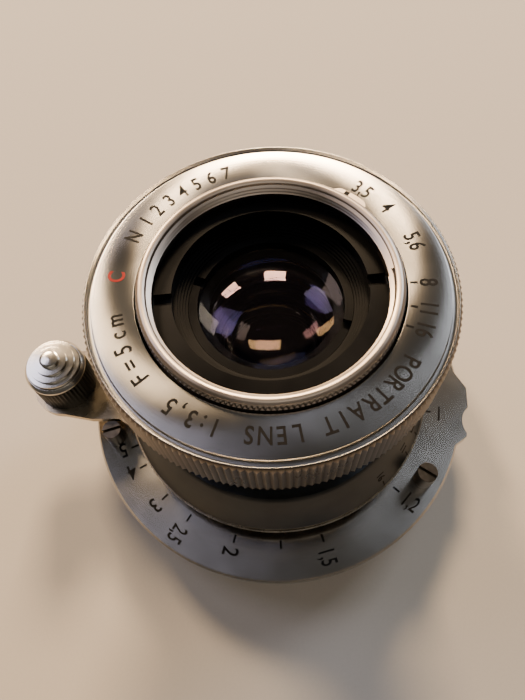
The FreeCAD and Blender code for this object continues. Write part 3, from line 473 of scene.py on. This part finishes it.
# ---------------------------------------------------------------- knob and lock
# Black enamelled knob with a straight knurl, riveted into the arm, and a bright bevelled rim.
# Inside it slides a stepped button, on a steel stem with a wide catch and a coil spring.
KNOB_R = 4.25
KNOB_CUP_R = 3.8
KNOB_CUP_FLOOR = 1.2
KNOB_RIM = 0.75
KNOB_TEETH = 48
KNURL_DEPTH = 0.22
RIVET_R = 2.5
RIVET_DEEP = 0.95
STEM_BORE_R = 1.65
knob_low, knob_high = (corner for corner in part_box("knob_collar"))
knob_centre = ((knob_low.x + knob_high.x) / 2 / MM, (knob_low.y + knob_high.y) / 2 / MM)
knob_top = knob_high.z / MM
arm_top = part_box("focus_lever")[1].z / MM


def knurl_tree():
    """Straight knurl: V grooves that limit the radius of a turned piece between two heights."""
    tree = new_tree("straight_knurl", [("Centre", "Vector"), ("Teeth", "Float"),
                    ("Tip", "Float"), ("Root", "Float"), ("Low", "Float"), ("High", "Float"),
                    ("Finish", "Material")])
    ask = add(tree, "NodeGroupInput").outputs
    here = add(tree, "GeometryNodeInputPosition").outputs[0]
    local = add(tree, "ShaderNodeVectorMath", {0: here, 1: ask["Centre"]}, operation="SUBTRACT")
    axes = add(tree, "ShaderNodeSeparateXYZ", {0: local.outputs[0]}).outputs
    level = add(tree, "ShaderNodeVectorMath", {0: local.outputs[0], 1: (1, 1, 0)},
                operation="MULTIPLY")
    reach = add(tree, "ShaderNodeVectorMath", {0: level.outputs[0]},
                operation="LENGTH").outputs["Value"]
    turn = add(tree, "ShaderNodeMath", {0: axes["Y"], 1: axes["X"]}, operation="ARCTAN2")
    pitch = add(tree, "ShaderNodeMath", {0: 2 * pi, 1: ask["Teeth"]}, operation="DIVIDE")
    half = add(tree, "ShaderNodeMath", {0: pitch.outputs[0], 1: 0.5}, operation="MULTIPLY")
    swing = add(tree, "ShaderNodeMath", {0: turn.outputs[0], 1: half.outputs[0]},
                operation="PINGPONG")
    share = add(tree, "ShaderNodeMath", {0: swing.outputs[0], 1: half.outputs[0]},
                operation="DIVIDE")
    limit = add(tree, "ShaderNodeMapRange", {"Value": share.outputs[0], "To Min": ask["Tip"],
                "To Max": ask["Root"]})
    nearer = add(tree, "ShaderNodeMath", {0: reach, 1: limit.outputs[0]}, operation="MINIMUM")
    shrink = add(tree, "ShaderNodeMath", {0: nearer.outputs[0], 1: reach}, operation="DIVIDE")
    scaled = add(tree, "ShaderNodeVectorMath", {0: level.outputs[0]}, operation="SCALE")
    tree.links.new(shrink.outputs[0], scaled.inputs["Scale"])
    shift = add(tree, "ShaderNodeVectorMath", {0: scaled.outputs[0], 1: level.outputs[0]},
                operation="SUBTRACT")
    above = add(tree, "FunctionNodeCompare", {0: axes["Z"], 1: ask["Low"]},
                operation="GREATER_EQUAL")
    below = add(tree, "FunctionNodeCompare", {0: axes["Z"], 1: ask["High"]},
                operation="LESS_EQUAL")
    inside = add(tree, "FunctionNodeBooleanMath", {0: above.outputs[0], 1: below.outputs[0]})
    cut = add(tree, "GeometryNodeSetPosition", {"Geometry": ask["Geometry"],
              "Selection": inside.outputs[0], "Offset": shift.outputs[0]})
    real = add(tree, "GeometryNodeRealizeInstances", {"Geometry": cut.outputs[0]})
    dressed = add(tree, "GeometryNodeSetMaterial", {"Geometry": real.outputs[0],
                  "Material": ask["Finish"]})
    add(tree, "NodeGroupOutput", {"Geometry": dressed.outputs[0]})
    return tree


straight_knurl = knurl_tree()


def knurled(piece, teeth, tip, depth, low, high, material, centre=(0.0, 0.0)):
    """Rolls a straight knurl into a turned piece, between two heights in mm."""
    return grow(piece, straight_knurl, Centre=(centre[0] * MM, centre[1] * MM, 0.0),
                Teeth=float(teeth), Tip=tip * MM, Root=(tip - depth) * MM, Low=low * MM,
                High=high * MM, Finish=material)


# Black enamel on turned metal: semi-matt and deep black, with the tool marks faint under it.
black_enamel = turned_metal("black_enamel", "#060505", "#030303", 0.36, 0.35, 0.0015,
                            metallic=0.0, mottle=8.0, shine=0.12)
rim_low = knob_top - KNOB_RIM
cup_floor = arm_top + KNOB_CUP_FLOOR
skirt = turned("knurled_knob_skirt", eased([
    (STEM_BORE_R, arm_top - RIVET_DEEP), (RIVET_R, arm_top - RIVET_DEEP), (RIVET_R, arm_top),
    (KNOB_R, arm_top), (KNOB_R, rim_low), (KNOB_CUP_R, rim_low), (KNOB_CUP_R, cup_floor),
    (STEM_BORE_R, cup_floor)], 0.08), black_enamel, 2 * KNOB_TEETH, knob_centre)
knurled(skirt, KNOB_TEETH, KNOB_R, KNURL_DEPTH, arm_top + 0.2, rim_low - 0.02, black_enamel,
        knob_centre)
fixed(skirt, "focus_unit", "black_enamel", "knob_collar")
# Bright chrome, polished by the finger on the knob's rim and on the button's steps.
bright_chrome = turned_metal("polished_chrome", "#DEDAD2", "#C4BDB2", 0.2, 0.35, 0.001,
                             streak=0.4, mottle=1.5)
KNOB_RIM_BORE_R = 3.78
KNOB_BEVEL = 0.4
rim = turned("knob_rim", eased([
    (KNOB_RIM_BORE_R, rim_low), (KNOB_R, rim_low), (KNOB_R, knob_top - KNOB_BEVEL),
    (KNOB_R - KNOB_BEVEL, knob_top), (KNOB_RIM_BORE_R, knob_top)], 0.05), bright_chrome,
    2 * KNOB_TEETH, knob_centre)
fixed(rim, "focus_unit", "chromed_brass", "knob_collar")

button_low, button_top = (corner.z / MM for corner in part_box("lock_button"))
BUTTON_R = 3.68
BUTTON_BORE_R = 1.05
BUTTON_STEP = 0.5
BUTTON_TIP_R = 0.9
LOW_STEP_R, MIDDLE_STEP_R, TOP_STEP_R = 3.1, 2.2, 1.3
deck = button_top - 1.75
shelf = deck + BUTTON_STEP
crown = shelf + BUTTON_STEP
button = turned("stepped_button", eased([
    (0, deck), (BUTTON_BORE_R, deck), (BUTTON_BORE_R, button_low), (BUTTON_R, button_low),
    (BUTTON_R, deck), (LOW_STEP_R, deck), (LOW_STEP_R, shelf), (MIDDLE_STEP_R, shelf),
    (MIDDLE_STEP_R, crown), (TOP_STEP_R, crown), (TOP_STEP_R, button_top - 0.12),
    (BUTTON_TIP_R, button_top), (0, button_top)], 0.07), bright_chrome, 2 * KNOB_TEETH,
    knob_centre)
fixed(button, "lock", "chromed_brass", "lock_button")
dress("lock_plunger", screw_steel)
dress("lock_spring", screw_steel)

# ---------------------------------------------------------------- neck
# Plain anodised aluminium neck, coloured almost black as painted shade for the name ring's shadow,
# pinned to the helicoid by two blackened grub screws. The lens barrel drops into it on a brass shim.
# Anodised turned aluminium, coloured nearly black as painted shade: dull, and still a little
# metallic.
shade_black_anodised = turned_metal("dark_anodised_aluminium", "#2E2C2A", "#1C1B1A", 0.4, 0.35, 0.002,
                             metallic=0.8, streak=0.3, mottle=3.0)
# Oxide-blackened spring steel: blue-black, with the fine grain of rolled strip.
blackened_steel = turned_metal("blackened_spring_steel", "#1C1B1D", "#0E0E10", 0.35, 0.12, 0.001,
                               metallic=0.7, mottle=1.0)
dress("barrel_neck", shade_black_anodised)
dress("neck_grub_screws", blackened_steel)
# The lens barrel takes the cone's grey, painted dark as shade.
dress("lens_barrel", shade_dark_aluminium)
dress("barrel_clamp_ring", black_enamel)

# ---------------------------------------------------------------- name ring
# Satin-chromed front ring with a knurled skirt. Its face has a turned groove, the aperture
# numbers and tidy generic lettering, engraved and filled with black, and one letter in red.
RIM_R = 20.8
RIM_BORE_R = 19.25
RIM_FOOT_BEVEL = 0.35
RIM_FACE_BEVEL = 0.4
FACE_MOUTH_R = 14.95
FACE_THICK = 2
GROOVE_OUTER_R, GROOVE_INNER_R = 20.35, 19.6
GROOVE_SLOPE, GROOVE_DEEP = 0.15, 0.42
GRIP_DEPTH = 0.3
GRIP_TEETH = 168
name_low, name_high = (corner.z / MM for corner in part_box("name_ring"))
groove_floor = name_high - GROOVE_DEEP
face_back = name_high - FACE_THICK
name_ring = turned("knurled_name_ring", eased([
    (RIM_BORE_R, name_low), (RIM_R - RIM_FOOT_BEVEL, name_low), (RIM_R, name_low + 0.4),
    (RIM_R, name_high - 0.55), (RIM_R - RIM_FACE_BEVEL, name_high), (GROOVE_OUTER_R, name_high),
    (GROOVE_OUTER_R - GROOVE_SLOPE, groove_floor), (GROOVE_INNER_R + GROOVE_SLOPE, groove_floor),
    (GROOVE_INNER_R, name_high), (FACE_MOUTH_R, name_high), (FACE_MOUTH_R, face_back),
    (RIM_BORE_R, face_back)], 0.07), satin_chrome, 2 * GRIP_TEETH)
knurled(name_ring, GRIP_TEETH, RIM_R, GRIP_DEPTH, name_low - 1, name_high + 1, satin_chrome)
# The knurl is coloured darker than the face, as painted shade for the shaded table it reflects, and
# darker still towards its roots as painted shade and grime, which leaves its tips bright.
knurl_shade_and_grime = turned_metal("knurled_chrome_shade_and_grime", "#A39B92", "#7C736A", 0.3, 0.4, 0.0006,
                           mottle=4.0, groove=(RIM_R - GRIP_DEPTH - 0.1, RIM_R + 0.1))
name_ring.data.materials.append(knurl_shade_and_grime)
KNURL_SHADE_BAND = 0.45
# The knurl's side faces take the painted-shade colour.
for face in name_ring.data.polygons:
    if face.center.xy.length > (RIM_R - KNURL_SHADE_BAND) * MM and abs(face.normal.z) < 0.5:
        face.material_index = 1
fixed(name_ring, "focus_unit", "knurled_rim", "name_ring")

LETTER_REACH = 17.25
LETTER_HEIGHT = 1.95
EIGHT, ELEVEN, SIXTEEN = -5.2, -16.3, -25.5
LIP_TICK_REACH = 15.6


def on_face(azimuth, right, up, out):
    """Letters on the name ring stand outwards and read clockwise."""
    turn = azimuth - right / LETTER_REACH
    return ((LETTER_REACH + up) * cos(turn), (LETTER_REACH + up) * sin(turn), name_high + out)


def ring_text(text, azimuth, step, stretch=0.8):
    """Letters one by one round the ring, each a step in degrees clockwise of the last."""
    return [(glyphs(letter, LETTER_HEIGHT, stretch), azimuth - step * i, 0)
            for i, letter in enumerate(text) if letter != " "]


face_marks = [(glyphs(text, LETTER_HEIGHT, 0.75), azimuth, 0) for text, azimuth in (
    ("3,5", 45.0), ("4", 32.2), ("5,6", 13.5), ("8", EIGHT), ("11", ELEVEN), ("16", SIXTEEN),
    ("N", 150.6))]
face_marks += ring_text("1234567", 142.2, 6.58) + ring_text("PORTRAIT LENS", -38.75, 5.26)
face_marks += ring_text("F=5cm", -145.6, 6.4) + ring_text("1:3,5", -113.4, 4.3)
engraved("name_ring_lettering", face_marks, on_face, black_fill, "focus_unit")
# Red paint of the same kind, sunk and browned in its strokes.
red_fill = paint("red_engraving_paint", "#B3241C", "#7D1510", 0.5)
engraved("coating_letter", ring_text("C", 169.7, 0), on_face, red_fill, "focus_unit")


def on_lip(azimuth, right, up, out):
    """Short ticks at the inner edge of the name ring, at the three smallest apertures."""
    turn = azimuth - right / LIP_TICK_REACH
    return ((LIP_TICK_REACH + up) * cos(turn), (LIP_TICK_REACH + up) * sin(turn), name_high + out)


engraved("aperture_ticks", [(bar(0.25, 0.8), stop, 0) for stop in (EIGHT, ELEVEN, SIXTEEN)],
         on_lip, black_fill, "focus_unit")

# ---------------------------------------------------------------- aperture ring
# Rounded chrome bead, turned by the fingertips on a fine knurl at its foot. Inside its mouth is
# the bright filter thread, and on it a flag and a black index that points at the aperture.
FILTER_R = 13.1
FILTER_PITCH = 0.5
BEAD_R = 14.65
BEAD_FOOT_R = 14.6
BEAD_BORE_R = 13.55
BEAD_MOUTH_R = 13.4
BEAD_LIFT = 0.06
BEAD_KNURL_DEPTH = 0.2
BEAD_TEETH = 160
MOUTH_DEEP = 2.2
FILTER_TURNS = 3.0
FILTER_BELOW = 2.0
FLAG_AZIMUTH, FLAG_HALF_ANGLE = 46.0, 8.4
FLAG_INNER_R, FLAG_OUTER_R = 14.3, 15.6
INDEX_AZIMUTH_OPEN, INDEX_REACH = 48.4, 15.15
bead_low, bead_top = (corner.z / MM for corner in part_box("aperture_ring"))
# The same plating, handled more: duller than the disc and a little pink, in broad patches.
bead_chrome = turned_metal("rubbed_bead_chrome", "#C6BAAF", "#A79888", 0.38, 0.4, 0.0003,
                           mottle=6.0)
bead_seat = name_high + BEAD_LIFT
# The bead's round top runs from its outer side, over its crest, into the mouth.
bead = turned("beaded_aperture_ring", eased([
    (BEAD_BORE_R, bead_low), (BEAD_FOOT_R, bead_low), (BEAD_FOOT_R, bead_seat),
    (BEAD_R, bead_seat), (BEAD_R, bead_top - 0.75), (14.5, bead_top - 0.32),
    (14.25, bead_top - 0.08), (13.98, bead_top), (13.75, bead_top - 0.04),
    (13.5, bead_top - 0.2), (BEAD_MOUTH_R, bead_top - 0.45),
    (BEAD_MOUTH_R, bead_top - MOUTH_DEEP), (BEAD_BORE_R, bead_top - MOUTH_DEEP)], 0.05),
    bead_chrome, 2 * BEAD_TEETH)
knurled(bead, BEAD_TEETH, BEAD_R, BEAD_KNURL_DEPTH, name_high + 0.05, bead_top - 0.7, bead_chrome)
threaded(bead, FILTER_R, FILTER_PITCH, FILTER_TURNS, bead_top - FILTER_BELOW, INWARD,
         bead_chrome)
fixed(bead, "aperture_control", "knurled_rim", "aperture_ring")


def flag_plate(low, high, steps=12):
    """The index flag: a thin plate that follows the ring, with rounded outer corners."""
    bm = bmesh.new()
    rings = []
    for z in (low, high):
        inner, outer = [], []
        for i in range(steps + 1):
            share = 2 * i / steps - 1
            angle = radians(FLAG_AZIMUTH + FLAG_HALF_ANGLE * share)
            reach = FLAG_OUTER_R - 0.5 * share ** 6
            inner.append(bm.verts.new((MM * FLAG_INNER_R * cos(angle),
                                       MM * FLAG_INNER_R * sin(angle), MM * z)))
            outer.append(bm.verts.new((MM * reach * cos(angle), MM * reach * sin(angle), MM * z)))
        rings.append(inner + outer[::-1])
    bm.faces.new(rings[0])
    bm.faces.new(rings[1])
    for i in range(len(rings[0])):
        j = (i + 1) % len(rings[0])
        bm.faces.new((rings[0][i], rings[0][j], rings[1][j], rings[1][i]))
    bmesh.ops.recalc_face_normals(bm, faces=bm.faces)
    return bm


flag_top = name_high + 0.42
flag = placed("index_flag", flag_plate(bead_seat, flag_top), bead_chrome)
fixed(flag, "aperture_control", "knurled_rim")


def on_flag(azimuth, right, up, out):
    """The index line lies on the flag, just outside the bead."""
    reach = INDEX_REACH + up
    turn = azimuth - right / reach
    return reach * cos(turn), reach * sin(turn), flag_top + out


engraved("aperture_index", [(bar(0.6, 0.8), INDEX_AZIMUTH_OPEN, 0)], on_flag, black_fill,
         "aperture_control")
dress("aperture_drive_screw", screw_steel)

# ---------------------------------------------------------------- iris
# Seven blackened spring-steel leaves between a case with pivot holes and a ring with cam slots.
# Everything round them is matt black, so that no light scatters inside the lens.
# Matt black lacquer: rough and hardly shiny, so the tool marks under it don't glint.
iris_black = turned_metal("matt_black_lacquer", "#070707", "#030303", 0.6, 0.35, 0.003,
                          metallic=0.0, mottle=1.5, shine=0.2)
for node in ("iris_case", "iris_cover_ring", "iris_drive_ring"):
    dress(node, iris_black)
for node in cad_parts:
    if node.startswith("iris_leaf_"):
        dress(node, blackened_steel)

# ---------------------------------------------------------------- front cell and its rings
# Black turned cell with a stepped mouth, which traps stray light, and the thread that its glass
# ring screws into. A slotted ring over it closes the barrel. All are turned and enamelled black.
CELL_STEPS = 4
CELL_R, CELL_FLANGE_R = 9.6, 12.25
CELL_MOUTH_R, CELL_NARROWING = 10.6, 1.1
FRONT_SEAT_R, MIDDLE_SEAT_R, CELL_BORE_R = 8.65, 7.65, 7.0
cell_low, cell_top = (corner.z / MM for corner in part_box("front_cell"))
glass_ring_low, glass_ring_top = (corner.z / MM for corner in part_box("front_glass_ring"))
middle_low, middle_high = (corner.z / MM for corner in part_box("middle_glass"))
cover_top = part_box("iris_cover_ring")[1].z / MM + 0.05
mouth = [(CELL_MOUTH_R, cell_top)]
for step in range(CELL_STEPS):
    fall = cell_top + (glass_ring_top + 0.05 - cell_top) * (step + 1) / CELL_STEPS
    mouth.append((CELL_MOUTH_R - CELL_NARROWING * step / CELL_STEPS, fall))
    mouth.append((CELL_MOUTH_R - CELL_NARROWING * (step + 1) / CELL_STEPS, fall))
ring_seat = glass_ring_low - 0.05
middle_seat = middle_low - 0.02
cell = turned("stepped_front_cell", eased([
    (CELL_BORE_R, cell_low), (CELL_R, cell_low), (CELL_R, cover_top), (CELL_FLANGE_R, cover_top),
    (CELL_FLANGE_R, cell_top)] + mouth + [
    (CELL_MOUTH_R - CELL_NARROWING, ring_seat), (FRONT_SEAT_R, ring_seat),
    (FRONT_SEAT_R, middle_high), (MIDDLE_SEAT_R, middle_high), (MIDDLE_SEAT_R, middle_seat),
    (CELL_BORE_R, middle_seat)], 0.03), black_enamel)
fixed(cell, "focus_unit", "black_enamel", "front_cell")
for node in ("front_retaining_ring", "front_glass_ring", "glass_spacer"):
    dress(node, black_enamel)

# ---------------------------------------------------------------- glass
# Four ground and polished elements: a front one, a hollow middle one and a cemented rear pair.
# Crown and flint glass, with a one-layer coating that turns their reflections blue and violet.
COATING_NM = 106.0
COATING_IOR = 1.38


def coated_glass(name, index, tint):
    """Optical glass, clear, with a thin coating and the faintest dust on it."""
    material = bpy.data.materials.new(name)
    material.use_nodes = True
    tree = material.node_tree
    tree.nodes.clear()
    spot = add(tree, "ShaderNodeTexCoord").outputs["Object"]
    dust = add(tree, "ShaderNodeTexNoise", {"Vector": spot, "Scale": 1 / (0.5 * MM),
               "Detail": 6.0, "Roughness": 0.75})
    film = add(tree, "ShaderNodeMapRange", {"Value": dust.outputs["Fac"], "From Min": 0.66,
               "From Max": 0.85, "To Min": 0.0, "To Max": 0.02})
    skin = add(tree, "ShaderNodeBsdfPrincipled", {"Base Color": linear(tint), "IOR": index,
               "Roughness": film.outputs[0], "Transmission Weight": 1.0,
               "Thin Film Thickness": COATING_NM, "Thin Film IOR": COATING_IOR})
    add(tree, "ShaderNodeOutputMaterial", {"Surface": skin.outputs[0]})
    return material


def element(name, radius, top, top_curve, base, base_curve, material, node):
    """A lens: top and base are its vertices, and a curve is a radius in mm, plus where it bulges,
    minus where it is hollow, and 0 where it is flat."""
    def sag(curve, r):
        return 0.0 if curve == 0 else (abs(curve) - sqrt(curve * curve - r * r)) * (
            1 if curve > 0 else -1)
    steps = 28
    reaches = [radius * i / steps for i in range(steps + 1)]
    outline = [(r, top - sag(top_curve, r)) for r in reaches]
    outline += [(r, base + sag(base_curve, r)) for r in reversed(reaches)]
    piece = turned(name, outline, material, 128)
    return fixed(piece, "focus_unit", "coated_glass", node)


# Crown and flint: clear, and the flint a little yellow, with the blue-violet of the coating.
crown_glass = coated_glass("coated_crown_glass", 1.61, "#F4F3FA")
flint_glass = coated_glass("coated_flint_glass", 1.66, "#F6F0E4")
front_base, front_top = (corner.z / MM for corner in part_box("front_glass"))
flint_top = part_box("rear_flint_glass")[1].z / MM
crown_base, crown_top = (corner.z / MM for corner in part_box("rear_crown_glass"))
FRONT_GLASS_R, MIDDLE_GLASS_R, REAR_GLASS_R = 8.6, 7.6, 7.2
MIDDLE_THICK = 1.1
MIDDLE_CURVE = 32
FLINT_THICK = 1
CEMENT_CURVE = 20
middle_front = middle_high - MIDDLE_CURVE + sqrt(MIDDLE_CURVE ** 2 - MIDDLE_GLASS_R ** 2)
element("front_element", FRONT_GLASS_R, front_top, 19, front_base, 0, crown_glass,
        "front_glass")
element("middle_element", MIDDLE_GLASS_R, middle_front, -MIDDLE_CURVE,
        middle_front - MIDDLE_THICK, -17, flint_glass, "middle_glass")
element("rear_flint_element", REAR_GLASS_R, flint_top, 0, flint_top - FLINT_THICK, -CEMENT_CURVE,
        flint_glass, "rear_flint_glass")
element("rear_crown_element", REAR_GLASS_R, crown_top, CEMENT_CURVE, crown_base, 21, crown_glass,
        "rear_crown_glass")

# ---------------------------------------------------------------- rear cell and baffle
# Turned cell for the rear pair, entered from the rear, with its ring, and a baffle behind it.
# All are lacquered matt black, as the iris case is.
for node in ("rear_cell", "rear_glass_ring", "rear_baffle"):
    dress(node, iris_black)

# ---------------------------------------------------------------- floor, light and camera
# A plain pale table, a few soft panels such as a ceiling and a window give, and a camera close
# above the lens, looking down past its front edge.
floor_mesh = bmesh.new()
FLOOR_HALF = 1.5
# The floor lies just under the lens, so that the two don't share a plane.
FLOOR_GAP = 0.02
ground = cad_box[0][2] - FLOOR_GAP * MM
for x, y in ((-1, -1), (1, -1), (1, 1), (-1, 1)):
    floor_mesh.verts.new((x * FLOOR_HALF, y * FLOOR_HALF, ground))
floor_mesh.faces.new(floor_mesh.verts)
# Painted board: pale, matt and nearly even, so that it gives only a soft shadow.
pale_board = paint("pale_matt_board", "#C9C0B4", "#C2B9AD", 0.85)
floor = placed("floor", floor_mesh, pale_board)


def panel(name, direction, distance, width, height, watts, colour):
    """A soft rectangular light that faces the lens."""
    light = bpy.data.lights.new(name, "AREA")
    light.shape = "RECTANGLE"
    light.size, light.size_y = width, height
    light.energy = watts
    light.color = linear(colour)[:3]
    holder = bpy.data.objects.new(name, light)
    way = Vector(direction).normalized()
    holder.location = way * distance
    holder.rotation_euler = way.to_track_quat("Z", "Y").to_euler()
    bpy.context.scene.collection.objects.link(holder)


panel("ceiling_left", (-0.42, 0.76, 0.6), 1.2, 0.24, 0.24, 18, "#FFDDB2")
panel("ceiling_right", (0.09, 0.79, 0.58), 1.2, 0.27, 0.22, 23, "#FFDDB2")
panel("window_right", (0.6, 0.52, 0.55), 1.1, 0.4, 0.5, 5, "#E4ECFA")
panel("window_left", (-0.52, 0.33, 0.75), 1.2, 0.4, 0.4, 2.5, "#D6D6F2")
panel("overhead", (0.1, -0.55, 0.9), 1.6, 1.2, 0.9, 4, "#FFF6EA")
world = bpy.data.worlds.new("studio")
world.use_nodes = True
backdrop = world.node_tree.nodes["Background"].inputs
backdrop["Color"].default_value = linear("#CFC8BE")
backdrop["Strength"].default_value = 0.13
bpy.context.scene.world = world

camera = bpy.data.cameras.new("camera")
camera.sensor_width = 36
camera.lens = 30.857
camera.clip_start = 0.005
eye = bpy.data.objects.new("camera", camera)
eye.location = Vector((-1.335, -35.892, 88.732)) * MM
ahead = Vector((-0.00182, 0.45332, -0.89134))
upward = Vector((0.0963, 0.88728, 0.45106))
eye.rotation_euler = Matrix((ahead.cross(upward), upward, -ahead)).transposed().to_euler()
bpy.context.scene.collection.objects.link(eye)
bpy.context.scene.camera = eye
